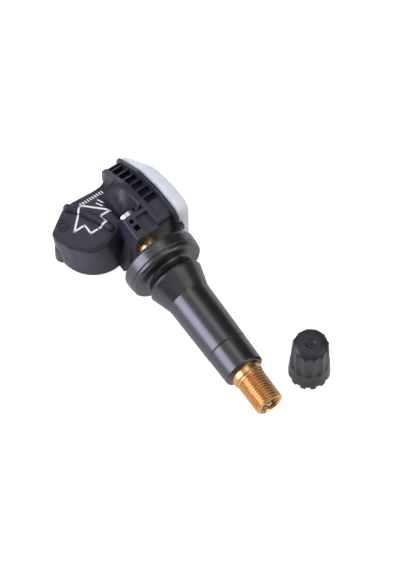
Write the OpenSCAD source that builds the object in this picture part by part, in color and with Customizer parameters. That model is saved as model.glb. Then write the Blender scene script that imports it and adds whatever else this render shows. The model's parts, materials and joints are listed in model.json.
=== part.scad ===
// Snap-in tyre pressure sensor with its rubber valve and loose valve cap.
// The valve axis is X, and the origin is where it meets the front face of the
// rubber flange, which is the face that seats on the wheel rim. +X points to the
// valve's tip, +Y to the translucent cover, +Z up from the surface it lies on.

/* [Rubber valve body] */
// Radius of the sealing flange
flange_r = 10.45; // [9.9:0.05:10.8]
// Thickness of the sealing flange
flange_t = 5.4; // [4.6:0.1:6]
// Radius of the neck that the rim hole grips
neck_r = 6.3; // [6:0.1:6.6]
// Width of the rim groove
groove_w = 1.7; // [1.4:0.1:2]
// Radius of the snap bulge behind the rim
bulge_r = 7.7; // [7.3:0.1:8.1]
// Where the bulge's cone ends along the valve
cone_end = 9.3; // [8.5:0.1:10.5]
// Radius at the end of the cone
stem_r = 5.94; // [5.8:0.02:6.1]
// Length of the rubber from the seat to its end
rubber_len = 34.4; // [32:0.2:37]
// Radius of the rubber at its end
rubber_end_r = 5.45; // [5.2:0.05:5.6]
// How far the moulding line stands back from the rubber's end
collar_back = 8; // [6:0.1:10]

/* [Brass stem] */
// Outside radius of the cap thread
thread_r = 3.87; // [3.8:0.01:3.95]
// Length of the cap thread
thread_len = 9.3; // [8:0.1:10]
// Radius of the plain land behind the thread
land_r = 4.15; // [4.05:0.05:4.4]
// Length of the land that shows past the rubber
land_len = 1.8; // [1.2:0.1:2.4]
// Chamfer at the tip
tip_chamfer = 0.4; // [0.3:0.05:0.7]
// Radius of the brass shank inside the rubber
shank_r = 3.2; // [3.1:0.05:3.5]
// Radius of the tail that the sensor is bolted to
tail_r = 2.9; // [2.7:0.05:3]
// Length of the tail behind the flange
tail_len = 10; // [9:0.1:11]
// Radius of the air bore
air_bore_r = 1.85; // [1.75:0.05:1.95]
// Radius of the core chamber at the mouth
core_bore_r = 2.65; // [2.6:0.01:2.7]
// Length of the core chamber
core_bore_len = 7; // [6.6:0.1:7.6]
// Radius of the air hole in the tail's underside
air_hole_r = 0.7; // [0.5:0.05:0.9]

/* [Valve core] */
// Radius of the core plug's thread
plug_r = 2.55; // [2.5:0.01:2.58]
// Length of the core plug's thread
plug_len = 3.4; // [3:0.1:3.8]
// Width across the plug's two flats
plug_flats = 2.9; // [2.6:0.1:3.2]
// Radius of the pin
pin_r = 0.5; // [0.45:0.01:0.55]
// Radius of the pin's head
pin_head_r = 0.75; // [0.7:0.01:0.9]
// Distance of the pin's head inside the mouth
pin_inset = 0.3; // [0.2:0.05:0.5]
// Running clearance round the pin
pin_gap = 0.06; // [0.03:0.01:0.09]
// Outside radius of the barrel
barrel_r = 1.55; // [1.5:0.01:1.6]
// Wall of the barrel
barrel_wall = 0.3; // [0.25:0.01:0.35]
// Length of the barrel
barrel_len = 6.6; // [6:0.1:7.2]
// Radius of the spring's wire
spring_wire_r = 0.11; // [0.09:0.01:0.13]
// Turns of the spring
spring_turns = 7; // [5:1:9]

/* [Sensor housing] */
// Far end of the housing, behind the seat
house_back = 36; // [34.5:0.1:37.5]
// Near end of the housing, behind the seat
house_front = 9.9; // [9.7:0.1:10.4]
// Height of the arched flanges above the valve axis
arch_top = 6.9; // [6.6:0.1:7.6]
// Height at which the arch ends at the far end, below the valve axis
arch_drop = 4.9; // [4.5:0.1:5.6]
// Height of the marked face above the valve axis
face_z = 1.8; // [1.5:0.1:2.2]
// Radius of the battery lobe at its foot
lobe_foot_r = 9.9; // [9.7:0.1:10.3]
// Where the bead of the front flange starts across the housing
bead_y = 3.4; // [3.2:0.1:3.6]
// Width of the bead
bead_w = 1.3; // [1.1:0.1:1.6]
// Width of the ribbed channel
channel_w = 3.5; // [3.2:0.1:3.8]
// Depth of the pockets between the ribs
channel_d = 1.4; // [1.4:0.1:2.4]
// Distance from rib to rib
rib_pitch = 3; // [2.9:0.05:3.05]
// Thickness of a rib
rib_t = 0.5; // [0.4:0.05:0.7]
// Width of the lid flange
lid_flange_w = 0.9; // [0.7:0.05:1.2]
// How far the lid flange stands above the ribs
lid_flange_h = 0.9; // [0.6:0.1:1.2]
// Wall of the housing
wall = 1.2; // [1:0.05:1.3]
// Radius of the pressure port
port_r = 0.8; // [0.6:0.05:1]

/* [Cradle and screw] */
// Height of the cradle above the valve axis
cradle_top = 6; // [5.6:0.1:6.3]
// Half the width of the cradle's top
cradle_half = 3.1; // [3:0.05:3.3]
// Wall that the screw clamps to the tail
clamp_t = 2.5; // [2.2:0.1:2.8]
// Clearance of the tail in the cradle
tail_gap = 0.05; // [0.03:0.01:0.1]
// Radius of the screw's shank
screw_r = 1.45; // [1.4:0.01:1.5]
// Radius of the screw's head
screw_head_r = 2.75; // [2.6:0.05:2.9]
// Thickness of the screw's head
screw_head_t = 1.4; // [1.2:0.1:1.6]
// Length of the screw's shank
screw_len = 7.6; // [7:0.1:8]

/* [Cover] */
// Thickness of the cover over the housing
cover_t = 4.2; // [3.8:0.1:4.5]
// Wall of the cover
cover_wall = 1.1; // [1:0.05:1.2]
// Length of the cover's spigot in the housing
spigot_len = 1.2; // [1:0.1:1.4]
// Clearance round the spigot
spigot_gap = 0.1; // [0.05:0.01:0.15]

/* [Electronics] */
// Radius of the coin cell
cell_r = 8; // [7.9:0.01:8.02]
// Thickness of the coin cell
cell_t = 3.2; // [3.1:0.05:3.25]
// Thickness of the cell's welded tabs
tab_t = 0.2; // [0.15:0.01:0.22]
// Thickness of the circuit board
board_t = 1; // [0.8:0.05:1.1]
// Height of the board's underside above the housing floor
board_lift = 2.4; // [2.3:0.05:2.5]
// Width of the pressure sensor chip
chip_w = 4.4; // [4:0.1:5]
// Thickness of the pressure sensor chip
chip_t = 1.4; // [1.3:0.05:1.5]
// Length of the wake-up coil
coil_len = 7.4; // [7:0.1:8]
// Radius of the antenna wire
antenna_r = 0.35; // [0.3:0.01:0.4]

/* [Valve cap] */
// Where the cap stands along the valve axis
cap_x = 39.5; // [37:0.5:44]
// Where the cap stands to the side of the valve
cap_y = 16.5; // [15:0.5:20]
// Height of the cap
cap_h = 16.6; // [15:0.1:17.5]
// Radius of the cap's foot
cap_foot_r = 5.4; // [5.3:0.05:5.6]
// Radius of the cap at its top
cap_top_r = 4.85; // [4.6:0.05:5]
// Clearance of the cap's thread on the valve's
cap_gap = 0.1; // [0.05:0.01:0.15]
// Depth of the cap's threaded hole
cap_bore = 9.6; // [9:0.1:10.2]
// Number of flutes round the cap
cap_flutes = 12; // [8:1:14]
// Radius of a flute
flute_r = 1.1; // [0.9:0.05:1.2]
// Depth of a flute
flute_d = 0.45; // [0.3:0.05:0.5]

/* [Hidden] */
$fn = 64;
eps = 0.01;

// The surface that the sensor lies on: the flange rests on it
floor_z = -flange_r;

// Places along the valve axis
flange_back = -flange_t;
tail_end = flange_back - tail_len;
land_end = rubber_len + land_len;
tip_x = land_end + thread_len;
core_seat = tip_x - core_bore_len;
core_cone = core_bore_r - air_bore_r;
head_x = tail_end - clamp_t;
pin_tip = tip_x - pin_inset;
plug_x = core_seat + 0.6;
barrel_x = plug_x - barrel_len;
ledge_t = 0.6;
collar_t = 0.4;
pin_collar_x = plug_x - collar_t - 0.1;
cup_len = 1.8;
cup_seal_t = 0.7;
cup_x = barrel_x - cup_seal_t - cup_len;
pin_head_len = 1;
pin_travel = 1.5;

// Places across the housing
channel_y = bead_y + bead_w;
lid_y = channel_y + channel_w;
cover_y = lid_y + lid_flange_w;
inner_z = floor_z + 1.3;
board_z = inner_z + board_lift;
cell_x = -22.4;
cell_y = -8.8;
cell_z = inner_z + tab_t;
wide_rib_x = tail_end - 0.5;
neck_back = -house_back + 6.3;
screw_top = face_z + 0.6;
chip_x = -20.5;
chip_y = 2.4;
board_x = -28.2;
board_y = cell_y + cell_r + 0.6;
board_len = 15;
coil_x = board_x + 4.2;
coil_y = board_y + 5.5;

// Points of an arc that rounds corner b between a and c by the radius in b[2]
function corner(a, b, c, n) =
    let (u = [a[0] - b[0], a[1] - b[1]], v = [c[0] - b[0], c[1] - b[1]])
    let (p = u / norm(u), q = v / norm(v))
    let (half = acos(p * q) / 2, m = (p + q) / norm(p + q))
    let (o = [b[0], b[1]] + m * b[2] / sin(half))
    let (s = [b[0], b[1]] + p * b[2] / tan(half) - o)
    let (e = [b[0], b[1]] + q * b[2] / tan(half) - o)
    let (turn = atan2(s[0] * e[1] - s[1] * e[0], s * e), start = atan2(s[1], s[0]))
    [for (k = [0 : n]) o + b[2] * [cos(start + turn * k / n), sin(start + turn * k / n)]];

// An outline whose corners [x, y, radius] are rounded by arcs of n steps
function rounded(c, n = 6) =
    [for (i = [0 : len(c) - 1]) each c[i][2] == 0
        ? [[c[i][0], c[i][1]]]
        : corner(c[(i + len(c) - 1) % len(c)], c[i], c[(i + 1) % len(c)], n)];

// Two outlines of equal length blended by s
function blended(a, b, s) = [for (i = [0 : len(a) - 1]) a[i] * (1 - s) + b[i] * s];

// Corners in X and Z of the arched outline, grown upwards and endwards by g
function arch(g = 0) = [
    [-house_back - g, floor_z, 0.8],
    [-house_back - g, -arch_drop + g, 1.4],
    [-house_back + 9.4, arch_top - 4.4 + g, 8],
    [-house_back + 18, arch_top - 0.5 + g, 8],
    [-house_front + g, arch_top + g, 1.7],
    [-house_front + g, floor_z, 0.8]
];

// Corners in X and Z of the lid flange, which rises towards the valve, drawn in by g
function lid(g = 0) = [
    [-house_back - 0.4 + g, floor_z + g, 0.8],
    [-house_back - 0.4 + g, -arch_drop + lid_flange_h - g, 1.4],
    [-house_back + 9.4 + g / 2, arch_top - 3.6 + lid_flange_h - g, 8],
    [-house_back + 18, arch_top + lid_flange_h - g, 8],
    [-house_front + 1.5 - g, arch_top + 0.9 + lid_flange_h - g, 2.6],
    [-house_front + 1.5 - g, floor_z + g, 0.8]
];

// Corners in X and Z of the neck that joins the lobe to the arch, as far as near_x
function neck(near_x) = [
    [neck_back - 0.8, floor_z, 0.6],
    [neck_back, face_z, 1],
    for (k = [1 : 6])
        [neck_back + k * 1.6, face_z, 0],
    [near_x, face_z, 0.5],
    [near_x + 0.2, floor_z, 0.5]
];

// Corners of the arch with the same count, as far as near_x
function high_arch(near_x) = [
    [-house_back, floor_z, 0.6],
    [-house_back, -arch_drop, 1],
    for (k = [1 : 6])
        [-house_back + 3 + k * 2.4, arch_z(-house_back + 3 + k * 2.4), 0],
    [near_x, arch_z(near_x), 0.5],
    [near_x + 0.2, floor_z, 0.5]
];

// Height of the arch at x
function arch_z(x) = lookup(x, [
    [-house_back, -arch_drop],
    [-house_back + 7, arch_top - 6.2],
    [-house_back + 11.5, arch_top - 3.6],
    [-house_back + 17, arch_top - 1.2],
    [-house_back + 21, arch_top - 0.5],
    [-house_front, arch_top]
]);

// Corners in X and Z of the room behind the cover
room = [
    [-house_back + 2.4, inner_z, 0.6],
    [-house_back + 2.4, inner_z + 1.8, 0.6],
    [-house_back + 10.4, arch_top - 5.6 - channel_d - wall, 7],
    [-house_back + 19, arch_top - channel_d - wall - 0.6, 7],
    [-house_front - wall - 0.4, arch_top - channel_d - wall, 0.8],
    [-house_front - wall - 0.4, inner_z, 0.6]
];

// Turns a drawing in X and Z into a plate from y by w towards +Y
module plate(y, w) {
    translate([0, y + w, 0])
        rotate([90, 0, 0])
            linear_extrude(w)
                children();
}

// Turns a drawing of [along X, radius] about the valve axis
module turned() {
    rotate([90, 0, 90])
        rotate_extrude()
            rotate(90)
                mirror([0, 1])
                    children();
}

// A round bar along X from x by length
module bar_x(x, length, r, r2 = undef) {
    translate([x, 0, 0])
        rotate([0, 90, 0])
            cylinder(h = length, r1 = r, r2 = is_undef(r2) ? r : r2);
}

// A loft along Y through outlines in X and Z: each entry is [y, outline]
module loft(sections) {
    n = len(sections[0][1]);
    last = len(sections) - 1;
    points = [for (s = sections) each [for (p = s[1]) [p[0], s[0], p[1]]]];
    sides = [for (k = [0 : last - 1]) each [for (i = [0 : n - 1])
        each [[k * n + i, (k + 1) * n + i, k * n + (i + 1) % n],
              [k * n + (i + 1) % n, (k + 1) * n + i, (k + 1) * n + (i + 1) % n]]]];
    ends = [[for (i = [0 : n - 1]) i], [for (i = [0 : n - 1]) last * n + n - 1 - i]];
    polyhedron(points, concat(sides, ends), convexity = 6);
}

// Corners of the lobe's flat top in X and Y
lobe_top = [
    [-29.6, -4, 1],
    [-30.1, -12.2, 6],
    [-24.7, -20, 2.4],
    [-19.4, -17.8, 5],
    [-14.6, -14, 4],
    [-14.6, -9.2, 5],
    [-17.3, -2.2, 1]
];

// The battery lobe: a drafted round boss whose top leans towards -Y
module lobe() {
    bevel = 0.4;
    hull() {
        translate([-22.3, -8.4, floor_z])
            cylinder(h = 0.01, r = lobe_foot_r - 0.8);
        translate([-22.3, -8.5, floor_z + 0.8])
            cylinder(h = 0.6, r = lobe_foot_r);
        translate([0, 0, face_z - 0.04 - bevel])
            linear_extrude(0.01)
                polygon(rounded(lobe_top));
        translate([0, 0, face_z - 0.05])
            linear_extrude(0.01)
                offset(delta = -bevel)
                    polygon(rounded(lobe_top));
    }
    translate([-23.6, -17.1, floor_z])
        cylinder(h = 5, r = 2.1);
    translate([-23.6, -17.1, floor_z + 5])
        cylinder(h = 3, r1 = 2.1, r2 = 0.8);
}

// The rounded ridge that crosses the lobe's face
module ridge() {
    ridge_r = 34;
    ridge_z = face_z - 0.3;
    centre = [-7.6, -38.2];
    translate([centre[0], centre[1], ridge_z])
        rotate(107.5)
            rotate_extrude(angle = 20.5, $fn = 180)
                translate([ridge_r, 0])
                    circle(r = 1.15, $fn = 24);
    for (a = [107.5, 128])
        translate([centre[0] + ridge_r * cos(a), centre[1] + ridge_r * sin(a), ridge_z])
            sphere(r = 1.12, $fn = 20);
}

// The saddle that flares from the neck up to the arched bead, with a trough sunk
// in it that leads a driver to the screw
module saddle() {
    end_y = bead_y + 0.4;
    start_y = -3;
    trough_half = 3.2;
    trough_d = 3.4;
    near_line = [[-9.6, -16.3], [-6.5, -16.7], [-4.6, -17.3], [-3.4, -17.6], [-2.6, head_x + 0.1]];
    stations = [-11.5, -6.5, -5.4, -4.6, -4, for (y = [-3.4 : 0.4 : 3.4]) y, end_y];
    loft([for (y = stations)
        let (near_x = lookup(y, near_line), t = max(0, (y - start_y) / (end_y - start_y)))
        let (across = max(0, 1 - pow(abs(y + 0.2) / trough_half, 2)))
        [y, [for (p = blended(rounded(neck(near_x)), rounded(high_arch(near_x)), pow(t, 2.4)))
            let (along = min(1, max(0, (p[0] - neck_back - 1) / 8.5)))
            [p[0], p[1] - (p[1] > 0 ? trough_d * across * pow(along, 1.4) : 0)]]]
    ]);
}

// The cradle that holds the brass tail, with its curved foot towards the lobe
module cradle() {
    foot = [
        [-6.9, floor_z, 0.4],
        [-5.4, -4.1, 6],
        [-4.2, 0.9, 3],
        [-cradle_half, cradle_top, 0.5],
        [bead_y + 0.2, cradle_top, 0],
        [bead_y + 0.2, floor_z, 0]
    ];
    block = [
        [-4.1, floor_z, 0.3],
        [-4.1, 0.6, 3],
        [-cradle_half, cradle_top, 0.5],
        [bead_y + 0.2, cradle_top, 0],
        [bead_y + 0.2, floor_z, 0]
    ];
    block_x = head_x - 0.3;
    wing_back = flange_back - 8.3;
    wing_t = 3;
    translate([wing_back, 0, 0])
        rotate([90, 0, 90])
            linear_extrude(wing_t)
                polygon(rounded(foot));
    intersection() {
        translate([block_x, 0, 0])
            rotate([90, 0, 90])
                linear_extrude(-house_front + 0.5 - block_x)
                    polygon(rounded(block));
        plate(-6, 12)
            polygon([
                [block_x - 1, floor_z],
                [block_x - 1, screw_top],
                [head_x + 0.1, screw_top],
                [tail_end - 1, cradle_top],
                [-house_front + 0.5, cradle_top],
                [-house_front + 0.5, floor_z]
            ]);
    }
}

// The two arched flanges and the ribbed channel between them
module frame_ends() {
    plate(bead_y, bead_w)
        polygon(rounded(arch(0.1)));
    plate(lid_y, lid_flange_w)
        polygon(rounded(lid()));
    intersection() {
        plate(bead_y, lid_y - bead_y + 0.2)
            polygon(rounded(arch(-0.1)));
        union() {
            plate(bead_y, lid_y - bead_y + 0.2)
                polygon([for (p = rounded(arch(-0.1))) [p[0] + 0.6, p[1] - channel_d]]);
            translate([wide_rib_x - 0.6, bead_y, floor_z])
                cube([-house_front - wide_rib_x + 0.6, lid_y - bead_y, flange_r + arch_top]);
            for (i = [1 : floor((house_back - 5) / rib_pitch) - 4])
                translate([wide_rib_x - i * rib_pitch - rib_t / 2, bead_y, floor_z])
                    cube([rib_t, lid_y - bead_y, flange_r + arch_top]);
            translate([-house_back, bead_y, floor_z])
                cube([1, lid_y - bead_y, flange_r + arch_top]);
        }
    }
}

// Everything that is cut out of the housing to let the electronics in
module inner_room() {
    plate(channel_y, cover_y - channel_y + eps)
        polygon(rounded(room));
    translate([-28.6, -2, inner_z])
        cube([16, channel_y + 3, 4.1]);
    translate([cell_x, cell_y, inner_z])
        cylinder(h = cell_t + 2 * tab_t + 0.1, r = cell_r + 0.12);
}

module housing() {
    color([0.16, 0.16, 0.18])
        difference() {
            union() {
                lobe();
                ridge();
                saddle();
                cradle();
                frame_ends();
                latch();
            }
            inner_room();
            cradle_cuts();
            port_cuts();
        }
}

// The small hook at the near end of the lid flange
module latch() {
    translate([-house_front + 1.2, lid_y + 0.1, 1])
        cube([1.3, lid_flange_w + 0.8, 2.2]);
}

// The pocket for the screw's head, its hole, the bore for the tail, and the
// pockets on the cradle's top
module cradle_cuts() {
    slot_w = 1.2;
    pocket_x = head_x - screw_head_t - 0.2;
    bar_x(pocket_x, head_x - pocket_x, screw_head_r + 0.3);
    bar_x(tail_end, -tail_end, tail_r + tail_gap);
    bar_x(head_x - 1, clamp_t + 2, screw_r + 0.15);
    translate([tail_end + 0.2, -0.1, cradle_top - 1])
        cube([4.6, bead_y + 0.1, 2]);
    for (i = [0, 1])
        translate([tail_end + 0.1 + i * 2, -2, cradle_top - 2.6])
            cube([slot_w + 0.4 * i, 1.2 + 0.4 * i, 3]);
}

// The pressure port with the seat for its filter
module port_cuts() {
    translate([chip_x, chip_y, floor_z - eps])
        cylinder(h = 2, r = port_r);
    translate([chip_x, chip_y, floor_z - eps])
        cylinder(h = 0.6 + eps, r = 2.3);
}

module port_filter() {
    color([0.9, 0.9, 0.88])
        translate([chip_x, chip_y, floor_z + 0.35])
            cylinder(h = 0.25, r = 2.25);
}

// Milky cover welded to the lid flange, domed outside and hollow inside
module cover() {
    color([0.86, 0.89, 0.94, 0.8])
        difference() {
            union() {
                hull() {
                    plate(cover_y, cover_t * 0.35)
                        polygon(rounded(lid(0.4)));
                    plate(cover_y + cover_t * 0.35, cover_t * 0.45)
                        polygon([for (p = rounded(lid(0.8))) [max(p[0], -house_back + 4), p[1]]]);
                    plate(cover_y + cover_t - 0.05, 0.05)
                        polygon([for (p = rounded(lid(1.9))) [max(p[0], -house_back + 7), p[1]]]);
                }
                plate(cover_y - spigot_len, spigot_len + eps)
                    intersection() {
                        polygon(rounded(room));
                        translate([0, -spigot_gap])
                            polygon(rounded(room));
                        translate([spigot_gap, 0])
                            polygon(rounded(room));
                        translate([-spigot_gap, 0])
                            polygon(rounded(room));
                        translate([0, spigot_gap])
                            polygon(rounded(room));
                    }
            }
            plate(cover_y - spigot_len - eps, cover_t - cover_wall + spigot_len)
                intersection() {
                    for (s = [[1, 0], [-1, 0]])
                        translate(s * (cover_wall + 0.4))
                            polygon(rounded(room));
                    translate([0, cover_wall])
                        polygon(rounded(room));
                    translate([0, -cover_wall])
                        polygon(rounded(room));
                }
        }
}

module circuit_board() {
    color([0.1, 0.35, 0.2])
        translate([board_x, board_y, board_z])
            difference() {
                cube([board_len, cover_y - spigot_len - 0.3 - board_y, board_t]);
                for (p = [[1, 1], [board_len - 1, 1]])
                    translate([p[0], p[1], -eps])
                        cylinder(h = board_t + 1, r = 0.5, $fn = 32);
            }
}

module pressure_chip() {
    color([0.12, 0.12, 0.13])
        translate([chip_x - chip_w / 2, chip_y - chip_w / 2, board_z - chip_t])
            difference() {
                cube([chip_w, chip_w, chip_t]);
                translate([chip_w / 2, chip_w / 2, -eps])
                    cylinder(h = 0.5, r = 0.5, $fn = 32);
            }
}

module port_seal() {
    color([0.2, 0.2, 0.2])
        translate([chip_x, chip_y, inner_z])
            difference() {
                cylinder(h = board_z - chip_t - inner_z, r = 1.7);
                translate([0, 0, -eps])
                    cylinder(h = 3, r = 1);
            }
}

// Capacitors and resistors on the board's two sides
module board_components() {
    color([0.62, 0.52, 0.4])
        for (i = [0 : 3]) {
            translate([-27.4 + 1.9 * i, 1.8, board_z + board_t])
                cube([1, 0.5, 0.5]);
            translate([-17.2 + 1.1 * i, 0.8 + 0.7 * (i % 2), board_z - 0.6])
                cube([0.6, 1.1, 0.6]);
        }
}

module crystal() {
    color([0.75, 0.75, 0.73])
        translate([-17.2, 1.2, board_z + board_t])
            cube([3.2, 2.5, 0.7]);
}

module coil_core() {
    color([0.25, 0.23, 0.22])
        translate([coil_x, coil_y, board_z + board_t])
            difference() {
                cube([coil_len, 2.4, 2.4]);
                translate([1, -1, -eps])
                    cube([coil_len - 2, 1.4, 4]);
                translate([1, 2, -eps])
                    cube([coil_len - 2, 1.4, 4]);
                translate([1, -1, 2])
                    cube([coil_len - 2, 5, 4]);
                translate([1, -1, -1])
                    cube([coil_len - 2, 5, 1.4]);
            }
}

module coil_winding() {
    color([0.72, 0.42, 0.2])
        translate([coil_x + 1, coil_y, board_z + board_t])
            difference() {
                translate([eps, 0.05, 0.05])
                    cube([coil_len - 2 - 2 * eps, 2.3, 2.3]);
                translate([-1, 0.4, 0.4])
                    cube([coil_len, 1.6, 1.6]);
            }
}

// Loop of wire that stands on the board and follows the arch
module antenna() {
    wire = 2 * antenna_r;
    foot_z = board_z + board_t;
    far_x = board_x + 0.6;
    near_x = board_x + board_len - 0.8;
    bend_x = board_x + 9;
    knee_z = foot_z + 1.6;
    top_z = foot_z + 6.5;
    outer = [
        [far_x, foot_z, 0], [far_x, knee_z, 0.8], [bend_x, top_z, 4],
        [near_x, top_z, 1.4], [near_x, foot_z, 0]
    ];
    inner = [
        [far_x + wire, foot_z - 1, 0], [far_x + wire, knee_z - 0.54 * wire, 0],
        [bend_x + 0.3 * wire, top_z - wire, 3.4],
        [near_x - wire, top_z - wire, 0.8], [near_x - wire, foot_z - 1, 0]
    ];
    color([0.8, 0.68, 0.4])
        plate(coil_y + 1.4, wire)
            difference() {
                polygon(rounded(outer));
                polygon(rounded(inner));
            }
}

module coin_cell() {
    color([0.75, 0.76, 0.78])
        translate([cell_x, cell_y, cell_z])
            difference() {
                union() {
                    cylinder(h = cell_t - 0.3, r = cell_r);
                    cylinder(h = cell_t, r = cell_r - 1.1);
                }
                translate([0, 0, -eps])
                    difference() {
                        cylinder(h = 0.15, r = cell_r - 0.9);
                        cylinder(h = 0.2, r = cell_r - 1.2);
                    }
            }
}

// Welded tab from the cell's top to the board's top
module upper_tab() {
    color([0.8, 0.8, 0.78])
        translate([cell_x - 1, cell_y, cell_z + cell_t])
            cube([2, board_y + 1.4 - cell_y, tab_t]);
}

// Welded tab from the cell's underside, bent up to the board's underside
module lower_tab() {
    foot_y = board_y + 0.5;
    color([0.8, 0.8, 0.78])
        translate([cell_x - 4.8, 0, 0]) {
            translate([0, cell_y, inner_z])
                cube([2, foot_y + tab_t - cell_y, tab_t]);
            translate([0, foot_y, inner_z])
                cube([2, tab_t, board_z - inner_z]);
            translate([0, foot_y, board_z - tab_t])
                cube([2, 1, tab_t]);
        }
}

module mounting_screw() {
    recess_d = 0.9;
    color([0.82, 0.83, 0.85])
        difference() {
            union() {
                bar_x(head_x - screw_head_t + 0.3, screw_head_t - 0.3, screw_head_r);
                bar_x(head_x - screw_head_t, 0.3, screw_head_r - 0.35, screw_head_r);
                bar_x(head_x, screw_len, screw_r);
            }
            bar_x(head_x - screw_head_t - eps, recess_d, 1.05);
            for (i = [0 : 5])
                rotate([60 * i, 0, 0])
                    translate([0, 0, 1.05])
                        bar_x(head_x - screw_head_t - eps, recess_d, 0.35);
        }
}

module rubber_body() {
    outline = [
        [flange_back, shank_r, 0],
        [flange_back, flange_r, 1.3],
        [-1.75, flange_r - 0.1, 0.2],
        [-1.6, flange_r - 0.35, 0.1],
        [-1.4, flange_r - 0.2, 0.2],
        [0, flange_r - 0.35, 0.9],
        [0, neck_r, 0.7],
        [groove_w, neck_r + 0.2, 1.2],
        [groove_w + 1.3, bulge_r - 0.15, 0.4],
        [groove_w + 1.45, bulge_r - 0.35, 0.05],
        [groove_w + 1.6, bulge_r, 0.2],
        [cone_end, stem_r, 1.2],
        [rubber_len - collar_back - 0.2, stem_r - 0.28, 0.1],
        [rubber_len - collar_back, stem_r - 0.5, 0.1],
        [rubber_len - collar_back + 0.2, rubber_end_r + 0.15, 0.1],
        [rubber_len, rubber_end_r, 0.7],
        [rubber_len, land_r, 0],
        [rubber_len - 4, land_r, 0],
        [rubber_len - 4.9, shank_r, 0]
    ];
    color([0.05, 0.05, 0.06])
        turned()
            polygon(rounded(outline));
}

module valve_stem() {
    outline = [
        [tail_end, screw_r + 0.05],
        [tail_end, tail_r - 0.3],
        [tail_end + 0.3, tail_r],
        [flange_back, tail_r],
        [flange_back, shank_r],
        [rubber_len - 4.9, shank_r],
        [rubber_len - 4, land_r],
        [land_end, land_r],
        [land_end, thread_r],
        [tip_x - tip_chamfer, thread_r],
        [tip_x, thread_r - tip_chamfer],
        [tip_x, core_bore_r + 0.3],
        [tip_x - 0.3, core_bore_r],
        [core_seat, core_bore_r],
        [core_seat - 2 * core_cone, air_bore_r],
        [flange_back - 2.6, air_bore_r],
        [flange_back - 2.6, 0],
        [head_x + screw_len + 0.6, 0],
        [head_x + screw_len + 0.6, screw_r + 0.05]
    ];
    color([0.8, 0.6, 0.25])
        difference() {
            turned()
                polygon(outline);
            translate([flange_back - 1.6, 0, -tail_r - 1])
                cylinder(h = tail_r + 1, r = air_hole_r);
        }
}

module core_plug() {
    color([0.82, 0.66, 0.32])
        difference() {
            union() {
                bar_x(plug_x, plug_len, plug_r);
                intersection() {
                    bar_x(plug_x + plug_len, 1.8, plug_r - 0.45);
                    translate([plug_x, -3, -plug_flats / 2])
                        cube([plug_len + 4, 6, plug_flats]);
                }
            }
            bar_x(plug_x - 1, 10, pin_r + pin_gap);
            bar_x(pin_tip - pin_head_len - pin_travel - 0.1, 10, pin_head_r + pin_gap);
            for (s = [-1, 1])
                translate([0, 1.25 * s, 0])
                    bar_x(plug_x - 1, 10, 0.45);
        }
}

// Barrel that hangs from the plug and holds the spring
module core_barrel() {
    color([0.84, 0.68, 0.36])
        difference() {
            bar_x(barrel_x, barrel_len, barrel_r);
            bar_x(barrel_x + ledge_t, barrel_len, barrel_r - barrel_wall);
            bar_x(barrel_x - 1, barrel_len, pin_r + 0.35);
        }
}

// Tapered sleeve that seals the barrel in the stem
module core_barrel_seal() {
    color([0.75, 0.2, 0.18])
        difference() {
            bar_x(core_seat - 2 * core_cone, 2 * core_cone, air_bore_r, core_bore_r);
            bar_x(core_seat - 4, 6, barrel_r);
        }
}

module core_pin() {
    color([0.85, 0.7, 0.4]) {
        bar_x(pin_tip - pin_head_len, pin_head_len - 0.2, pin_head_r);
        bar_x(pin_tip - 0.2, 0.2, pin_head_r, pin_head_r - 0.2);
        bar_x(cup_x, pin_tip - pin_head_len + 0.1 - cup_x, pin_r);
        bar_x(pin_collar_x, collar_t, barrel_r - barrel_wall - 0.15);
    }
}

// Coil spring that lifts the pin: its lower end stays on the barrel's ledge
module core_spring() {
    coil_r = barrel_r - barrel_wall - spring_wire_r - 0.12;
    low = barrel_x + ledge_t + spring_wire_r + 0.02;
    high = pin_collar_x - spring_wire_r - 0.02;
    sides = 6;
    steps = spring_turns * 14;
    points = [for (k = [0 : steps]) each
        let (a = 360 * spring_turns * k / steps, x = low + (high - low) * k / steps)
        [for (j = [0 : sides - 1])
            let (b = 360 * j / sides, r = coil_r + spring_wire_r * cos(b))
            [x + spring_wire_r * sin(b), r * cos(a), r * sin(a)]]];
    skin = [for (k = [0 : steps - 1]) each [for (j = [0 : sides - 1])
        [k * sides + j, k * sides + (j + 1) % sides, (k + 1) * sides + (j + 1) % sides, (k + 1) * sides + j]]];
    ends = [[for (j = [0 : sides - 1]) sides - 1 - j], [for (j = [0 : sides - 1]) steps * sides + j]];
    color([0.7, 0.7, 0.72])
        polyhedron(points, concat(skin, ends), convexity = 10);
}

module core_cup() {
    color([0.83, 0.66, 0.34])
        difference() {
            bar_x(cup_x, cup_len, barrel_r - 0.15);
            bar_x(cup_x - 1, cup_len + 2, pin_r);
        }
}

module core_cup_seal() {
    color([0.1, 0.1, 0.1])
        difference() {
            bar_x(barrel_x - cup_seal_t, cup_seal_t, barrel_r - 0.05);
            bar_x(barrel_x - cup_seal_t - 1, cup_seal_t + 2, pin_r);
        }
}

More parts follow.
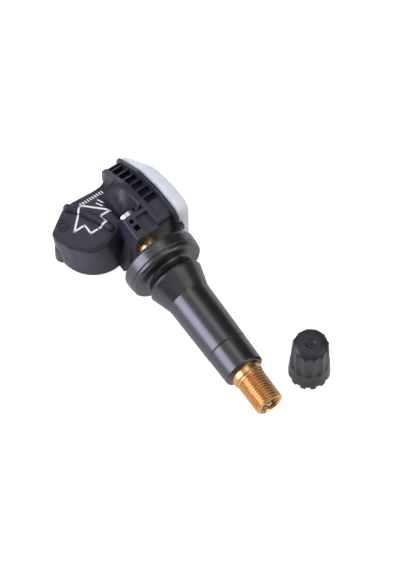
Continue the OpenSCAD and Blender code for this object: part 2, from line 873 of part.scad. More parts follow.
// Fluted cap that stands on its open end
module valve_cap() {
    skirt_h = 2.4;
    waist_r = cap_foot_r - 0.2;
    dome_h = 1.5;
    side_h = cap_h - skirt_h - dome_h;
    lean = atan((waist_r - cap_top_r) / side_h);
    dimple_r = 1.3;
    outline = [
        [0, 0, 0],
        [cap_foot_r - 0.3, 0, 0.3],
        [cap_foot_r, skirt_h * 0.6, 0.8],
        [waist_r, skirt_h + 0.4, 0.4],
        [cap_top_r, cap_h - dome_h, 0.6],
        [cap_top_r - 0.9, cap_h, 0.5],
        [dimple_r, cap_h, 0.2],
        [dimple_r - 0.3, cap_h - 0.3, 0.1],
        [0.35, cap_h - 0.3, 0],
        [0.35, cap_h - 0.05, 0],
        [0, cap_h - 0.05, 0]
    ];
    color([0.2, 0.2, 0.22])
        translate([cap_x, cap_y, floor_z])
            difference() {
                rotate_extrude()
                    polygon(rounded(outline));
                translate([0, 0, -eps])
                    cylinder(h = cap_bore, r = thread_r + cap_gap);
                translate([0, 0, cap_bore - 0.1])
                    cylinder(h = 1.8, r = plug_r);
                translate([0, 0, -eps])
                    cylinder(h = 0.5, r1 = thread_r + cap_gap + 0.5, r2 = thread_r + cap_gap);
                for (i = [0 : cap_flutes - 1])
                    rotate(360 * (i + 0.5) / cap_flutes)
                        translate([cap_foot_r + 0.2, 0, -eps])
                            cylinder(h = 1, r = 0.6, $fn = 24);
                for (i = [0 : cap_flutes - 1])
                    rotate(360 * i / cap_flutes)
                        translate([waist_r + flute_r - flute_d, 0, skirt_h + 1.2])
                            rotate([0, -lean, 0]) {
                                cylinder(h = side_h - 3, r = flute_r, $fn = 32);
                                sphere(r = flute_r, $fn = 32);
                                translate([0, 0, side_h - 3])
                                    sphere(r = flute_r, $fn = 32);
                            }
            }
}

module cap_seal() {
    color([0.12, 0.12, 0.12])
        translate([cap_x, cap_y, floor_z + cap_bore - 1])
            difference() {
                cylinder(h = 1 - eps, r = thread_r + cap_gap - 0.05);
                translate([0, 0, -1])
                    cylinder(h = 3, r = plug_r);
            }
}

housing();
cover();
port_filter();
circuit_board();
pressure_chip();
port_seal();
board_components();
crystal();
coil_core();
coil_winding();
antenna();
coin_cell();
upper_tab();
lower_tab();
mounting_screw();
rubber_body();
valve_stem();
core_plug();
core_barrel();
core_barrel_seal();
core_pin();
core_spring();
core_cup();
core_cup_seal();
valve_cap();
cap_seal();
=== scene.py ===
# %% [markdown]
# A snap-in tyre pressure sensor
#
# The object is a black sensor body that is bolted to a rubber snap-in valve, with its
# cap standing beside it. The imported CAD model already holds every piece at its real
# size, so this lesson adds what CAD leaves out: the surface of each material, the
# screw threads, the flutes of the cap, the marks on the housing, and the studio.

# %% Load the frame
import json
import math

import bmesh
import bpy
from mathutils import Matrix, Vector


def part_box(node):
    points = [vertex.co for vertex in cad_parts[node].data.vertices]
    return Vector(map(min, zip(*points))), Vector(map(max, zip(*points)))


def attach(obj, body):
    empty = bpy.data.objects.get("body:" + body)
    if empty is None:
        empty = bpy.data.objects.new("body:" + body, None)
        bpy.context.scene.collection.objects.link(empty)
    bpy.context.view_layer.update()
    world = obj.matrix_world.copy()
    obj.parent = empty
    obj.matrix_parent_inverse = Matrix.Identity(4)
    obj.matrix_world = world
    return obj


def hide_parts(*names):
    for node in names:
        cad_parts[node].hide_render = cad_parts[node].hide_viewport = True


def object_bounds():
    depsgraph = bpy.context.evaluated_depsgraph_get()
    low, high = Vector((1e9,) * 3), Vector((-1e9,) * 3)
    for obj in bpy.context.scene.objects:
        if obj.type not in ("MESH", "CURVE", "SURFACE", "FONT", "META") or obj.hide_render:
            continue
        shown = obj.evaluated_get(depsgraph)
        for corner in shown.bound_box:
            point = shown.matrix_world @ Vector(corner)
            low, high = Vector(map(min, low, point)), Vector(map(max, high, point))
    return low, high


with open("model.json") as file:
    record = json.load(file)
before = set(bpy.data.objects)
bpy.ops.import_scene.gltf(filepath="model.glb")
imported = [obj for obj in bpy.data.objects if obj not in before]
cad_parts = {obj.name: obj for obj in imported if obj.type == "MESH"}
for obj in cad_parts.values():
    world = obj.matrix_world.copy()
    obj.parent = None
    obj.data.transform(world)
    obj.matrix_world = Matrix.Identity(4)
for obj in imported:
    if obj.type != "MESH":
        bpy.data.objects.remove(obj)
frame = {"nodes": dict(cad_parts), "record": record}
cad_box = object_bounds()
MM = 0.001
print("CAD box in mm:", [[round(v / MM, 1) for v in corner] for corner in cad_box])

# %% [markdown]
# Colours are written as sRGB hex values, the way a paint chart or a colour picker
# gives them. Blender's shaders work in linear light, so one function turns each
# value to linear once, and every material below uses it.

# %% Turn hex colours to linear
def linear(hex_colour):
    """An sRGB hex colour such as #1a2b3c as a linear RGBA tuple."""
    parts = [int(hex_colour[i : i + 2], 16) / 255 for i in (1, 3, 5)]
    bent = [p / 12.92 if p <= 0.04045 else ((p + 0.055) / 1.055) ** 2.4 for p in parts]
    return tuple(bent) + (1.0,)


print("mid grey #808080 in linear light:", round(linear("#808080")[0], 3))

# %% [markdown]
# A material is a small graph of nodes. One helper adds a node, sets its values and
# joins its inputs, so that each material below reads as a short list of what the
# surface does. Patterns read object coordinates, which are metres here, so a pattern's
# scale is one divided by its size on the real part. No real surface has one even
# colour, so each material mixes two near ones through a soft pattern.

# %% Build materials from nodes
def add_node(material, kind, settings=None, **inputs):
    """Adds one node. Settings are its properties, inputs are values or other nodes' outputs.

    An input is named as in Blender, with _ for a space, or i and its number where a
    node has several inputs of one name.
    """
    node = material.node_tree.nodes.new(kind)
    for key, value in (settings or {}).items():
        setattr(node, key, value)
    for key, value in inputs.items():
        by_number = key[0] == "i" and key[1:].isdigit()
        socket = node.inputs[int(key[1:]) if by_number else key.replace("_", " ")]
        if isinstance(value, bpy.types.NodeSocket):
            material.node_tree.links.new(value, socket)
        else:
            socket.default_value = value
    return node


def new_material(name):
    """An empty material with its output node, and the place its patterns are read from."""
    material = bpy.data.materials.new(name)
    material.use_nodes = True
    material.node_tree.nodes.clear()
    out = add_node(material, "ShaderNodeOutputMaterial")
    place = add_node(material, "ShaderNodeTexCoord").outputs["Object"]
    return material, out, place


def close(material, out, shader):
    """Joins the finished shader to the output."""
    material.node_tree.links.new(shader.outputs[0], out.inputs["Surface"])
    return material


def per_mm(size):
    """The texture scale at which one cell of a pattern is size millimetres wide."""
    return 1 / (size * MM)


def noise(material, place, size, detail):
    """A cloudy pattern from 0 to 1, with cells of size millimetres."""
    node = add_node(
        material, "ShaderNodeTexNoise", Vector=place, Scale=per_mm(size), Detail=detail
    )
    return node.outputs["Fac"]


def two_tones(material, pattern, colour, other_colour):
    """One colour where the pattern is low, going over to the other where it is high."""
    node = add_node(
        material, "ShaderNodeMix", {"data_type": "RGBA"},
        i0=pattern, i6=linear(colour), i7=linear(other_colour),
    )
    return node.outputs[2]


def between(material, pattern, low, high):
    """A value that goes from low to high with the pattern."""
    node = add_node(material, "ShaderNodeMapRange", Value=pattern, To_Min=low, To_Max=high)
    return node.outputs[0]


print("a 3 mm pattern has the scale", round(per_mm(3), 1))

# %% [markdown]
# The camera stands one metre away, beyond the valve's tip and opposite the cover, and
# looks down at 64 degrees through a long lens. A long lens keeps the valve's sides
# nearly parallel, as in the photograph. The photograph's frame is 400 by 570 pixels,
# and a millimetre of the valve is 3.9 of them.

# %% Place the camera
FRAME_H = 570
AZIMUTH, ELEVATION = math.radians(55.5), math.radians(64.1)
DISTANCE = 1.0
PIXELS_PER_MM = 3.9
SENSOR = 36.0
AIM_X, AIM_RIGHT, AIM_DOWN = -2.7, 9.56, 5.46

toward = Vector((
    math.sin(AZIMUTH) * math.cos(ELEVATION),
    -math.cos(AZIMUTH) * math.cos(ELEVATION),
    math.sin(ELEVATION),
))
right = Vector((math.cos(AZIMUTH), math.sin(AZIMUTH), 0))
up = toward.cross(right)
aim = Vector((AIM_X * MM, 0, 0)) + right * AIM_RIGHT * MM - up * AIM_DOWN * MM


def facing(place, side, rise, back):
    """The matrix of a camera or lamp at a place, looking away from back."""
    return Matrix.Translation(place) @ Matrix((
        (side.x, rise.x, back.x, 0),
        (side.y, rise.y, back.y, 0),
        (side.z, rise.z, back.z, 0),
        (0, 0, 0, 1),
    ))


camera_data = bpy.data.cameras.new("camera")
camera_data.sensor_width = SENSOR
camera_data.lens = PIXELS_PER_MM * (DISTANCE / MM) / FRAME_H * SENSOR
camera_data.clip_start = 0.01
camera_data.clip_end = 100
camera = bpy.data.objects.new("camera", camera_data)
camera.matrix_world = facing(aim + toward * DISTANCE, right, up, toward)
bpy.context.scene.collection.objects.link(camera)
bpy.context.scene.camera = camera
print("lens in mm:", round(camera_data.lens, 1))

# %% [markdown]
# The photograph was taken on a white sweep. The floor is a plain sheet of pale paper.
# The camera sees a glow added to it, so that it reads as white while the object is lit
# at a plain level, and glossy surfaces mirror a weaker glow, as they would from a sheet
# in that light. Diffuse light doesn't see the glow at all, so the shadow stays. A
# bright world could whiten the ground too, but it would wash out the black rubber.

# %% Lay the floor
FLOOR_GLOW, MIRROR_GLOW = 0.8, 0.2
FLOOR_HALF = 1.5


def sweep_paper():
    material, out, place = new_material("white_sweep_paper")
    rays = add_node(material, "ShaderNodeLightPath").outputs
    straight = add_node(
        material, "ShaderNodeMath", {"operation": "MAXIMUM"},
        i0=rays["Is Camera Ray"], i1=rays["Is Transmission Ray"],
    )
    straight = add_node(
        material, "ShaderNodeMath", {"operation": "MULTIPLY"},
        i0=straight.outputs[0], i1=FLOOR_GLOW,
    )
    strength = add_node(
        material, "ShaderNodeMath", {"operation": "MULTIPLY_ADD"},
        i0=rays["Is Glossy Ray"], i1=MIRROR_GLOW, i2=straight.outputs[0],
    )
    tone = two_tones(material, noise(material, place, 6, 3.0), "#eeeeef", "#f4f4f4")
    paper = add_node(material, "ShaderNodeBsdfDiffuse", Color=tone)
    glow = add_node(
        material, "ShaderNodeEmission", Color=linear("#ffffff"), Strength=strength.outputs[0]
    )
    both = add_node(material, "ShaderNodeAddShader", i0=paper.outputs[0], i1=glow.outputs[0])
    return close(material, out, both)


h, z = FLOOR_HALF, cad_box[0].z
floor_mesh = bpy.data.meshes.new("floor")
floor_mesh.from_pydata([(-h, -h, z), (h, -h, z), (h, h, z), (-h, h, z)], [], [(0, 1, 2, 3)])
floor_mesh.materials.append(sweep_paper())
floor = bpy.data.objects.new("floor", floor_mesh)
bpy.context.scene.collection.objects.link(floor)
print("floor at z", round(z / MM, 1), "mm")

# %% [markdown]
# The bands along the rubber stem show where the lights stood: a large bright box, low
# on the near side and slightly blue, and a dim long one overhead. Three more fill in
# from behind, from the camera's side and from the far side. A weak white world lifts
# the last dark corners.

# %% Hang the lights
def soft_box(name, azimuth, elevation, distance, size, brightness, tint="#ffffff"):
    """A soft box in a direction given in degrees. Size is its width and height in metres."""
    a, e = math.radians(azimuth), math.radians(elevation)
    away = Vector((math.cos(a) * math.cos(e), math.sin(a) * math.cos(e), math.sin(e)))
    side = Vector((-math.sin(a), math.cos(a), 0))
    data = bpy.data.lights.new(name, "AREA")
    data.shape = "RECTANGLE"
    data.size, data.size_y = size
    data.energy = brightness * math.pi * size[0] * size[1]
    data.color = linear(tint)[:3]
    light = bpy.data.objects.new(name, data)
    light.matrix_world = facing(away * distance, side, away.cross(side), away)
    bpy.context.scene.collection.objects.link(light)


soft_box("soft_box_near_side", -118, 25, 0.8, (0.52, 0.6), 7.2, "#e6e6ff")
soft_box("soft_box_overhead", 120, 77, 0.9, (0.6, 0.3), 1.65)
soft_box("soft_box_behind", 180, 54, 0.9, (0.9, 0.8), 0.7)
soft_box("soft_box_by_camera", -34, 60, 1.1, (1.2, 1.2), 0.45)
soft_box("soft_box_far_side", 45, 42, 0.9, (0.6, 0.6), 2.6)

world = bpy.data.worlds.new("studio")
world.use_nodes = True
background = world.node_tree.nodes["Background"].inputs
background["Color"].default_value = linear("#ffffff")
background["Strength"].default_value = 0.1
bpy.context.scene.world = world
bpy.context.scene.view_settings.view_transform = "Standard"
print("lights:", len(bpy.data.lights))

# %% [markdown]
# The housing is black glass-filled nylon. It is moulded against a spark-eroded
# tool, so it has a fine even grain and a soft satin sheen, slightly bluish under
# white light. Short glass fibres show as a faint uneven tone. A picture of grain could
# be laid on it, but a noise needs no unwrapping and keeps its size on every face. A
# Bevel node rounds the look of each edge, as every moulded edge is a little round. The
# cap is a greyer nylon.

# %% Glass-filled nylon
EDGE_ROUND_MM = 0.18


def moulded_nylon(name, colour, light_colour, roughness, grain_mm, depth_mm, specular):
    material, out, place = new_material(name)
    cloud = noise(material, place, 3, 4.0)
    grain = noise(material, place, grain_mm, 2.0)
    edge = add_node(
        material, "ShaderNodeBevel", {"samples": 6}, Radius=EDGE_ROUND_MM * MM
    )
    bump = add_node(
        material, "ShaderNodeBump",
        Height=grain, Distance=depth_mm * MM, Strength=0.5, Normal=edge.outputs[0],
    )
    shader = add_node(
        material, "ShaderNodeBsdfPrincipled",
        Base_Color=two_tones(material, cloud, colour, light_colour),
        Roughness=between(material, cloud, roughness - 0.05, roughness + 0.06),
        Normal=bump.outputs[0], IOR=1.53, Specular_IOR_Level=specular,
    )
    return close(material, out, shader)


housing_nylon = moulded_nylon(
    "moulded_glass_filled_nylon", "#292934", "#34343f",
    roughness=0.38, grain_mm=0.25, depth_mm=0.02, specular=0.36,
)
cap_nylon = moulded_nylon(
    "moulded_grey_nylon", "#282528", "#343134",
    roughness=0.33, grain_mm=0.3, depth_mm=0.03, specular=0.25,
)
print("made", housing_nylon.name, "and", cap_nylon.name)

# %% [markdown]
# The cover is natural nylon without pigment. Light goes in and spreads, which gives
# the milky look. Clear glass with a white core could give it too, but subsurface light
# that travels about two millimetres does it in one surface and with less noise.

# %% Milky nylon
def milky_nylon():
    material, out, place = new_material("milky_natural_nylon")
    bump = add_node(
        material, "ShaderNodeBump",
        Height=noise(material, place, 0.4, 2.0), Distance=0.015 * MM, Strength=0.4,
    )
    shader = add_node(
        material, "ShaderNodeBsdfPrincipled",
        Base_Color=two_tones(material, noise(material, place, 5, 3.0), "#e0e3ec", "#eaecf2"),
        Roughness=0.35, Normal=bump.outputs[0], IOR=1.53,
        Subsurface_Weight=0.5, Subsurface_Scale=2.0 * MM, Subsurface_Radius=(1.0, 1.0, 1.1),
    )
    return close(material, out, shader)


cover_nylon = milky_nylon()
print("made", cover_nylon.name)

# %% [markdown]
# The valve body is moulded rubber from a polished tool. Its colour is nearly black,
# and what the eye sees is the reflection of the lights: broad soft bands along the
# stem. Fine mould-release streaks, drawn out along the valve, break up the gloss.

# %% Moulded rubber
STREAK_STRETCH = (0.25, 1.0, 1.0)


def moulded_rubber(name, colour, roughness):
    material, out, place = new_material(name)
    streaks = add_node(material, "ShaderNodeMapping", Vector=place, Scale=STREAK_STRETCH)
    haze = noise(material, streaks.outputs[0], 1.2, 4.0)
    bump = add_node(
        material, "ShaderNodeBump", Height=haze, Distance=0.006 * MM, Strength=0.2
    )
    shader = add_node(
        material, "ShaderNodeBsdfPrincipled",
        Base_Color=two_tones(material, haze, colour, "#19191f"),
        Roughness=between(material, haze, roughness - 0.03, roughness + 0.04),
        Normal=bump.outputs[0], IOR=1.52, Specular_IOR_Level=0.9,
    )
    return close(material, out, shader)


valve_rubber = moulded_rubber("moulded_valve_rubber", "#0e0e13", 0.3)
seal_rubber = moulded_rubber("moulded_seal_rubber", "#151515", 0.5)
print("made", valve_rubber.name, "and", seal_rubber.name)

# %% [markdown]
# The stem, the core and the screw are turned metal. Turning leaves fine rings round
# the axis, which stretch each highlight. Real ones are a tenth of a millimetre apart,
# finer than the picture can show, so these are three quarters of a millimetre apart.
# A wave texture runs through twenty radians in one unit, hence the tau / 20.

# %% Turned metal
def turned_metal(name, colour, other_colour, roughness, ring_mm=0.754, depth_mm=0.004):
    material, out, place = new_material(name)
    rings = add_node(
        material, "ShaderNodeTexWave", {"bands_direction": "X"},
        Vector=place, Scale=per_mm(ring_mm) * math.tau / 20, Distortion=1.5, Detail=2.0,
    )
    patina = noise(material, place, 1.6, 5.0)
    bump = add_node(
        material, "ShaderNodeBump",
        Height=rings.outputs["Fac"], Distance=depth_mm * MM, Strength=0.4,
    )
    shader = add_node(
        material, "ShaderNodeBsdfPrincipled",
        Base_Color=two_tones(material, patina, colour, other_colour), Metallic=1.0,
        Roughness=between(material, patina, roughness - 0.08, roughness + 0.1),
        Normal=bump.outputs[0],
    )
    return close(material, out, shader)


stem_brass = turned_metal("turned_brass", "#cb9c63", "#ddae79", 0.3)
core_brass = turned_metal("turned_core_brass", "#d6b070", "#e6c68c", 0.25)
zinc_steel = turned_metal("zinc_plated_steel", "#c9ccd0", "#dddfe2", 0.3)
spring_steel = turned_metal("drawn_spring_steel", "#9a9a9c", "#b0b0b2", 0.35)
copper_wire = turned_metal("enamelled_copper", "#a8612f", "#bd7440", 0.35)
print("made 5 metals")

# %% [markdown]
# The closed housing hides the electronics, but they are real pieces, so each gets
# the finish of its own material. The record names a material slot for each piece, and
# the table below gives the finish of each slot.

# %% Finish every CAD piece
def plain_finish(name, colour, other_colour, roughness, grain_mm):
    material, out, place = new_material(name)
    tone = two_tones(material, noise(material, place, grain_mm, 3.0), colour, other_colour)
    shader = add_node(
        material, "ShaderNodeBsdfPrincipled", Base_Color=tone, Roughness=roughness
    )
    return close(material, out, shader)


finishes = {
    "housing_nylon": housing_nylon,
    "cover_nylon": cover_nylon,
    "filter_membrane": plain_finish("expanded_ptfe_membrane", "#e4e4e0", "#f0f0ee", 0.9, 0.2),
    "board_laminate": plain_finish("green_solder_mask", "#14502f", "#1b6339", 0.4, 0.8),
    "chip_resin": plain_finish("moulded_epoxy_resin", "#1c1c1d", "#252526", 0.6, 0.3),
    "seal_rubber": seal_rubber,
    "seal_ptfe": plain_finish("red_ptfe", "#8f2a22", "#a03328", 0.5, 0.4),
    "chip_ceramic": plain_finish("sintered_ceramic", "#8f7a5e", "#a08a6c", 0.6, 0.2),
    "bright_steel": zinc_steel,
    "ferrite": plain_finish("sintered_ferrite", "#2a2927", "#35332f", 0.7, 0.3),
    "copper_wire": copper_wire,
    "bright_brass": core_brass,
    "screw_steel": zinc_steel,
    "spring_steel": spring_steel,
    "valve_rubber": valve_rubber,
    "stem_brass": stem_brass,
    "core_brass": core_brass,
    "cap_plastic": cap_nylon,
}
slot_of = {part["node"]: part["material_slot"] for part in frame["record"]["subparts"]}
for node, solid in frame["nodes"].items():
    solid.data.materials.clear()
    solid.data.materials.append(finishes[slot_of[node]])
print("finished", len(frame["nodes"]), "CAD pieces")

# %% [markdown]
# The stem and the cap are lathe forms: a profile of points that goes round an axis.
# The radius of each point may change with the angle, which is what cuts a thread or a
# flute. A face has a front and a back, and the fronts are turned outward at the end.

# %% Turn profiles into closed forms
def ease(value, start, end):
    """Rises from 0 at start to 1 at end."""
    return min(max((value - start) / (end - start), 0), 1)


def face_outward(name, points, faces):
    """A closed mesh of these points and faces, with every face turned outward."""
    mesh = bpy.data.meshes.new(name)
    mesh.from_pydata(points, [], faces)
    shell = bmesh.new()
    shell.from_mesh(mesh)
    bmesh.ops.recalc_face_normals(shell, faces=shell.faces)
    shell.to_mesh(mesh)
    shell.free()
    return mesh


def lathe_mesh(name, rows, radius_at, around):
    """Turns rows (x, r, kind) about the X axis. A function gives the radius at an angle."""
    points, faces = [], []
    for x, r, kind in rows:
        for k in range(around):
            angle = 2 * math.pi * k / around
            reach = radius_at(x, r, kind, k / around)
            points.append((x * MM, reach * math.cos(angle) * MM, reach * math.sin(angle) * MM))
    for i in range(len(rows) - 1):
        here, there = i * around, (i + 1) * around
        for k in range(around):
            n = (k + 1) % around
            faces.append((here + k, there + k, there + n, here + n))
    last = (len(rows) - 1) * around
    faces.append(tuple(range(around)))
    faces.append(tuple(reversed(range(last, last + around))))
    return face_outward(name, points, faces)


def place_piece(name, mesh, body, material, sharp=35):
    """Adds a piece that rides one body of the frame."""
    mesh.materials.append(material)
    mesh.shade_smooth()
    mesh.set_sharp_from_angle(angle=math.radians(sharp))
    piece = bpy.data.objects.new(name, mesh)
    bpy.context.scene.collection.objects.link(piece)
    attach(piece, body)
    return piece


stem_box, cap_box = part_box("valve_stem"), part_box("valve_cap")
print("the valve's tip is at x", round(stem_box[1].x / MM, 2), "mm")

# %% [markdown]
# CAD keeps the cap thread as a plain cylinder at the height of its crests. Here the
# stem is drawn again with its real thread: a 60 degree groove that winds round the
# axis 32 times an inch. Each ring of points is shifted along the axis by its angle,
# and that turns a row of separate grooves into one helix. A bump pattern could fake
# it, but the crests show in the outline, so the grooves are real. The finer thread
# inside the mouth, 36 to the inch, is where the core's plug screws in.

# %% Draw the stem with its threads
CAP_PITCH, CAP_DEPTH = 25.4 / 32, 0.44
CORE_PITCH, CORE_DEPTH = 25.4 / 36, 0.22
CREST_FLAT, FLANK = 0.18, 0.68
TAIL_END, TAIL_R, TAIL_BORE_R, BORE_END = -15.4, 2.9, 1.5, -8.0
SHANK_START, SHANK_R, SHANK_END = -5.4, 3.2, 29.5
TIP, CHAMFER = round(stem_box[1].x / MM, 3), 0.4
LAND_START, LAND_END, LAND_R = 30.4, 36.2, 4.15
THREAD_R, MOUTH_R, BORE_R = 3.87, 2.65, 1.85
MOUTH_EDGE, CORE_SEAT = TIP - 0.3, TIP - 7


def thread_depth(x, turn, pitch, depth):
    """How deep the groove is at x. Turn is the angle round the axis, from 0 to 1."""
    phase = (x / pitch - turn) % 1
    side = 1 - abs(phase - 0.5) * 2
    return depth * min(max((side - CREST_FLAT) / FLANK, 0), 1)


def stem_radius(x, r, kind, turn):
    if kind == "outside":
        fade = ease(x, LAND_END + 0.15, LAND_END + 1.0)
        cut = r - fade * thread_depth(x, turn, CAP_PITCH, CAP_DEPTH)
        return min(cut, THREAD_R - CHAMFER + (TIP - x))
    if kind == "inside":
        fade = ease(x, CORE_SEAT, CORE_SEAT + 0.6)
        return r + fade * thread_depth(x, turn, CORE_PITCH, CORE_DEPTH)
    return r


def even_rows(start, end, r, kind, step):
    """Rows at even steps from start to end, both included."""
    count = round(abs(end - start) / step)
    return [(start + (end - start) * i / count, r, kind) for i in range(count + 1)]


def stem_rows():
    """From the tail, along the outside to the tip, and back down the bore."""
    step = CAP_PITCH / 10
    rows = [(TAIL_END, TAIL_BORE_R, ""), (TAIL_END, TAIL_R - 0.3, "")]
    rows += [(TAIL_END + 0.3, TAIL_R, ""), (SHANK_START, TAIL_R, "")]
    rows += [(SHANK_START, SHANK_R, ""), (SHANK_END, SHANK_R, "")]
    rows += [(LAND_START, LAND_R, ""), (LAND_END - 0.12, LAND_R, "")]
    rows += [(LAND_END, LAND_R - 0.12, "")]
    rows += even_rows(LAND_END, TIP, THREAD_R, "outside", step)
    rows += [(TIP, MOUTH_R + 0.3, "")]
    rows += even_rows(MOUTH_EDGE, CORE_SEAT, MOUTH_R, "inside", step)
    rows += [(CORE_SEAT - 2 * (MOUTH_R - BORE_R), BORE_R, ""), (BORE_END, BORE_R, "")]
    return rows


stem_form = lathe_mesh("stem_with_threads", stem_rows(), stem_radius, 96)
stem = place_piece("stem_with_threads", stem_form, "sensor", stem_brass)
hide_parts("valve_stem")
print("stem drawn with", len(stem.data.vertices), "points")

# %% [markdown]
# The cap is moulded with twelve flutes for the fingers. Each flute is a round groove
# that starts in a small pit above the plain skirt and runs up into the dome, so that
# it ends in an arch there. Under each flute the skirt has a notch. Cutters and booleans
# could carve all that, but a radius that changes with the height and the angle gives
# even faces, and it is the same lathe form again.

# %% Draw the fluted cap
CAP_FLUTES, FLUTE_PHASE, FLUTE_WIDTH = 12, -8.5 / 360, 0.82
FLUTE_START, FLUTE_FULL, FLUTE_R, FLUTE_LEAN = 6.7, 8.4, 4.7, 0.32 / 9
PIT_Z, PIT_DEPTH, PIT_R = 7.0, 0.3, 0.36
NOTCH_TOP, NOTCH_DEPTH = 1.25, 0.55
SIDE_START, SIDE_R, SIDE_LEAN = 4.5, 5.23, 0.45 / 10.5
CAP_BORE, CAP_BORE_R, PLUG_R, PLUG_TOP = 9.6, 3.97, 2.55, 11.3


def cap_radius(z, r, kind, turn):
    if kind != "outside":
        return r
    place = ((turn - FLUTE_PHASE) * CAP_FLUTES) % 1
    off_flute = abs(place - round(place)) * 2
    groove = math.sqrt(max(0, 1 - (off_flute / FLUTE_WIDTH) ** 2))
    floor_r = FLUTE_R - FLUTE_LEAN * (z - PIT_Z)
    cut = groove * max(0, r - floor_r) * ease(z, FLUTE_START, FLUTE_FULL)
    across = off_flute * math.pi * r / CAP_FLUTES
    pit = PIT_DEPTH * math.exp(-((z - PIT_Z - 0.1) ** 2 + across ** 2) / PIT_R ** 2)
    below = 1 - ease(z, NOTCH_TOP, NOTCH_TOP + 0.15)
    notch = NOTCH_DEPTH * below * (1 - ease(off_flute, 0.4, 0.5))
    return r - max(cut + pit, notch)


def cap_rows():
    """Heights and radii from the middle of the top, down the outside, and up the inside."""
    top = [(16.5, 0.05), (16.5, 0.3), (16.3, 0.4), (16.3, 1.0), (16.45, 1.2), (16.6, 1.4)]
    dome = [(16.6, 3.2), (16.52, 3.5), (16.3, 3.85), (16.1, 4.12)]
    dome += [(15.9, 4.37), (15.65, 4.58), (15.4, 4.7), (15.2, 4.76)]
    heights = [15.0, 14.2, 13, 11.5, 10, 8.6] + [FLUTE_START + 1.1 - 0.1 * i for i in range(16)]
    side = [(z, SIDE_R - SIDE_LEAN * (z - SIDE_START)) for z in heights]
    skirt = [(4.5, 5.23), (2.6, 5.34), (1.7, 5.4), (1.4, 5.4)]
    skirt += [(1.25, 5.4), (0.4, 5.4), (0.1, 5.34), (0, 5.25)]
    inside = [(0, CAP_BORE_R + 0.5), (0.5, CAP_BORE_R), (CAP_BORE, CAP_BORE_R)]
    inside += [(CAP_BORE, PLUG_R), (PLUG_TOP, PLUG_R), (PLUG_TOP, 0.05)]
    rows = [(z, r, "outside") for z, r in top + dome + side + skirt]
    return rows + [(z, r, "") for z, r in inside]


def cap_mesh():
    """The cap, turned about X and then stood on end."""
    around = CAP_FLUTES * 16
    mesh = lathe_mesh("fluted_cap", cap_rows(), cap_radius, around)
    middle = (cap_box[0] + cap_box[1]) / 2
    mesh.transform(Matrix((
        (0, 1, 0, middle.x),
        (0, 0, 1, middle.y),
        (1, 0, 0, cap_box[0].z),
        (0, 0, 0, 1),
    )))
    return mesh


cap = place_piece("fluted_cap", cap_mesh(), "sensor", cap_nylon)
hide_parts("valve_cap")
print("cap drawn with", len(cap.data.vertices), "points")

# %% [markdown]
# Everything on the marked face lies on what is under it. The heights could be written
# out, but they would be wrong after any change in CAD. So each point is dropped from
# above, by casting a ray down, and the highest piece that it meets gives its height.

# %% Drop points onto the housing
DROP_FROM = 30
surfaces = [frame["nodes"]["housing"]]
bpy.context.view_layer.update()


def drop(x, y):
    """The height in mm at which a point falls onto the housing or its ridge from above."""
    highest = 0
    for surface in surfaces:
        world = surface.matrix_world
        start = world.inverted() @ Vector((x * MM, y * MM, DROP_FROM * MM))
        down = world.inverted().to_3x3() @ Vector((0, 0, -1))
        hit, place, _, _ = surface.ray_cast(start, down)
        if hit:
            highest = max(highest, (world @ place).z / MM)
    return highest


FACE_SPOT = (-20.5, -14.0)
print("the marked face is at z", round(drop(*FACE_SPOT), 2), "mm")

# %% [markdown]
# A ridge crosses the lobe in a slow bend. It stiffens the flat face over the cell. In
# CAD it is lower than in the photograph, so a half-round crest is laid along it on the
# same arc, with blunt ends and its foot sunk into the face.

# %% Raise the ridge
RIDGE_CENTRE, RIDGE_BEND_R = (-7.6, -38.2), 34
RIDGE_START, RIDGE_END = 105.8, 131.0
RIDGE_HALF_WIDTH, RIDGE_RISE, RIDGE_SUNK, RIDGE_BLUNT = 1.15, 1.6, 0.1, 0.96


def ridge_mesh(steps=48, around=12):
    """A half-round bar with blunt ends, laid along an arc on the lobe's face."""
    points, faces = [], []
    base = drop(*FACE_SPOT) - RIDGE_SUNK
    arc = math.radians(RIDGE_END - RIDGE_START) * RIDGE_BEND_R
    for i in range(steps + 1):
        turn = math.radians(RIDGE_START + (RIDGE_END - RIDGE_START) * i / steps)
        to_end = min(min(i, steps - i) / steps * arc / RIDGE_HALF_WIDTH, 1)
        grow = math.sqrt(1 - (1 - to_end) ** 2 * RIDGE_BLUNT)
        for k in range(around + 1):
            lean = math.pi * k / around
            reach = RIDGE_BEND_R + RIDGE_HALF_WIDTH * grow * math.cos(lean)
            x = RIDGE_CENTRE[0] + reach * math.cos(turn)
            y = RIDGE_CENTRE[1] + reach * math.sin(turn)
            z = base + RIDGE_RISE * grow * math.sin(lean)
            points.append((x * MM, y * MM, z * MM))
    ring = around + 1
    for i in range(steps):
        here, there = i * ring, (i + 1) * ring
        for k in range(ring):
            n = (k + 1) % ring
            faces.append((here + k, here + n, there + n, there + k))
    faces += [tuple(reversed(range(ring))), tuple(range(steps * ring, (steps + 1) * ring))]
    return face_outward("ridge_crest", points, faces)


crest = place_piece("ridge_crest", ridge_mesh(), "sensor", housing_nylon, sharp=60)
bpy.context.view_layer.update()
print("ridge raised with", len(crest.data.vertices), "points")

# %% [markdown]
# The white mark on the housing is pad printed, a thin layer of ink that follows the
# face. Each stroke is drawn flat, in many small steps, and its points are then dropped
# onto the housing, so that it climbs over the ridge. A painted texture would need the
# face unwrapped, and strokes of real thickness don't. The mark here is a plain block
# arrow along the valve's axis, with a row of short ticks in place of small print.

# %% Print the mark
INK_T = 0.03
STROKE_STEP = 0.25
surfaces.append(crest)


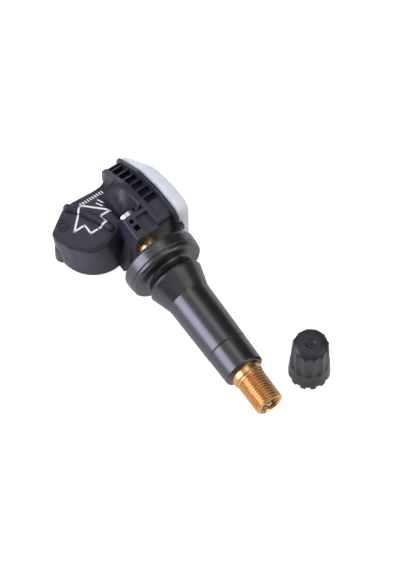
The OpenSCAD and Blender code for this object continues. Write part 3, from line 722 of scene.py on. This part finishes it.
def stroke_mesh(name, lines, width, heights):
    """Ribbons along lines of points in mm, laid on the housing at four heights across."""
    ribbon = bmesh.new()
    for line in lines:
        for (x0, y0), (x1, y1) in zip(line, line[1:]):
            length = math.hypot(x1 - x0, y1 - y0)
            ux, uy = (x1 - x0) / length, (y1 - y0) / length
            steps = max(2, math.ceil((length + width) / STROKE_STEP))
            last = None
            for i in range(steps + 1):
                s = -width / 2 + (length + width) * i / steps
                row = []
                for j, height in enumerate(heights):
                    t = width * (j / 3 - 0.5)
                    x, y = x0 + ux * s - uy * t, y0 + uy * s + ux * t
                    row.append(ribbon.verts.new((x * MM, y * MM, (drop(x, y) + height) * MM)))
                if last:
                    for j in range(3):
                        ribbon.faces.new((last[j], row[j], row[j + 1], last[j + 1]))
                last = row
    bmesh.ops.recalc_face_normals(ribbon, faces=ribbon.faces)
    mesh = bpy.data.meshes.new(name)
    ribbon.to_mesh(mesh)
    ribbon.free()
    return mesh


def white_ink():
    material, out, place = new_material("white_pad_printing_ink")
    tone = two_tones(material, noise(material, place, 0.35, 3.0), "#ececee", "#f8f8f9")
    shader = add_node(material, "ShaderNodeBsdfPrincipled", Base_Color=tone, Roughness=0.5)
    return close(material, out, shader)


ink = white_ink()
# A block arrow in (x, y) mm that points along the valve's axis
arrow = [(-27.8, -8.6), (-22.4, -2.9), (-22.4, -6.0), (-19.6, -6.0)]
arrow += [(-19.6, -10.8), (-22.4, -10.8), (-22.4, -14.0), (-27.8, -8.6)]
ticks = [[(-28.2, -8.4 + 0.72 * i), (-27.6, -8.2 + 0.72 * i)] for i in range(10)]
ticks += [[(-26.6, -4.0), (-25.2, -3.2)], [(-26.0, -4.8), (-24.6, -4.0)]]
for name, lines, width in (("printed_arrow", [arrow], 0.5), ("printed_ticks", ticks, 0.3)):
    mark = place_piece(name, stroke_mesh(name, lines, width, [INK_T] * 4), "sensor", ink)
    print(name, "laid with", len(mark.data.polygons), "faces")

# %% [markdown]
# The mould leaves fine raised lines: a bead along the lobe's rim, a line beside the
# ridge, and a ring with a pointer, like the date dial of a moulding tool. They are
# ribbons too, with raised middles, in the housing's own material. They run under the
# ridge, so they fall onto the housing alone, with the ridge taken off the list.

# %% Raise the mould's fine lines
def cut_corners(line, times=2):
    """Rounds a line of points by cutting each corner a few times."""
    for _ in range(times):
        inner = []
        for (x0, y0), (x1, y1) in zip(line, line[1:]):
            inner.append((0.75 * x0 + 0.25 * x1, 0.75 * y0 + 0.25 * y1))
            inner.append((0.25 * x0 + 0.75 * x1, 0.25 * y0 + 0.75 * y1))
        line = [line[0]] + inner + [line[-1]]
    return line


def circle(x, y, r, count=28):
    turns = [2 * math.pi * k / count for k in range(count + 1)]
    return [(x + r * math.cos(turn), y + r * math.sin(turn)) for turn in turns]


DIAL = (-25.6, -15.6)
LINE_WIDTH, LINE_HEIGHTS = 0.36, (-0.02, 0.16, 0.16, -0.02)
surfaces.remove(crest)
rim = [(-24.4, -18.9), (-22.7, -18.7), (-20.5, -17.9), (-18.2, -16.5), (-16.5, -14.7)]
rim += [(-15.6, -13.2), (-15.3, -11.0), (-15.8, -8.4), (-16.6, -5.8)]
pointer = [(DIAL[0] - 0.5, DIAL[1] - 0.3), (DIAL[0] + 0.5, DIAL[1] + 0.3)]
raised = [cut_corners(rim), [(-23.9, -10.0), (-16.2, -7.3)]]
raised += [circle(*DIAL, 1.6), circle(*DIAL, 0.8), pointer]
raised_mesh = stroke_mesh("moulded_lines", raised, LINE_WIDTH, LINE_HEIGHTS)
raised_lines = place_piece("moulded_lines", raised_mesh, "sensor", housing_nylon)
print("mould lines laid with", len(raised_mesh.polygons), "faces")
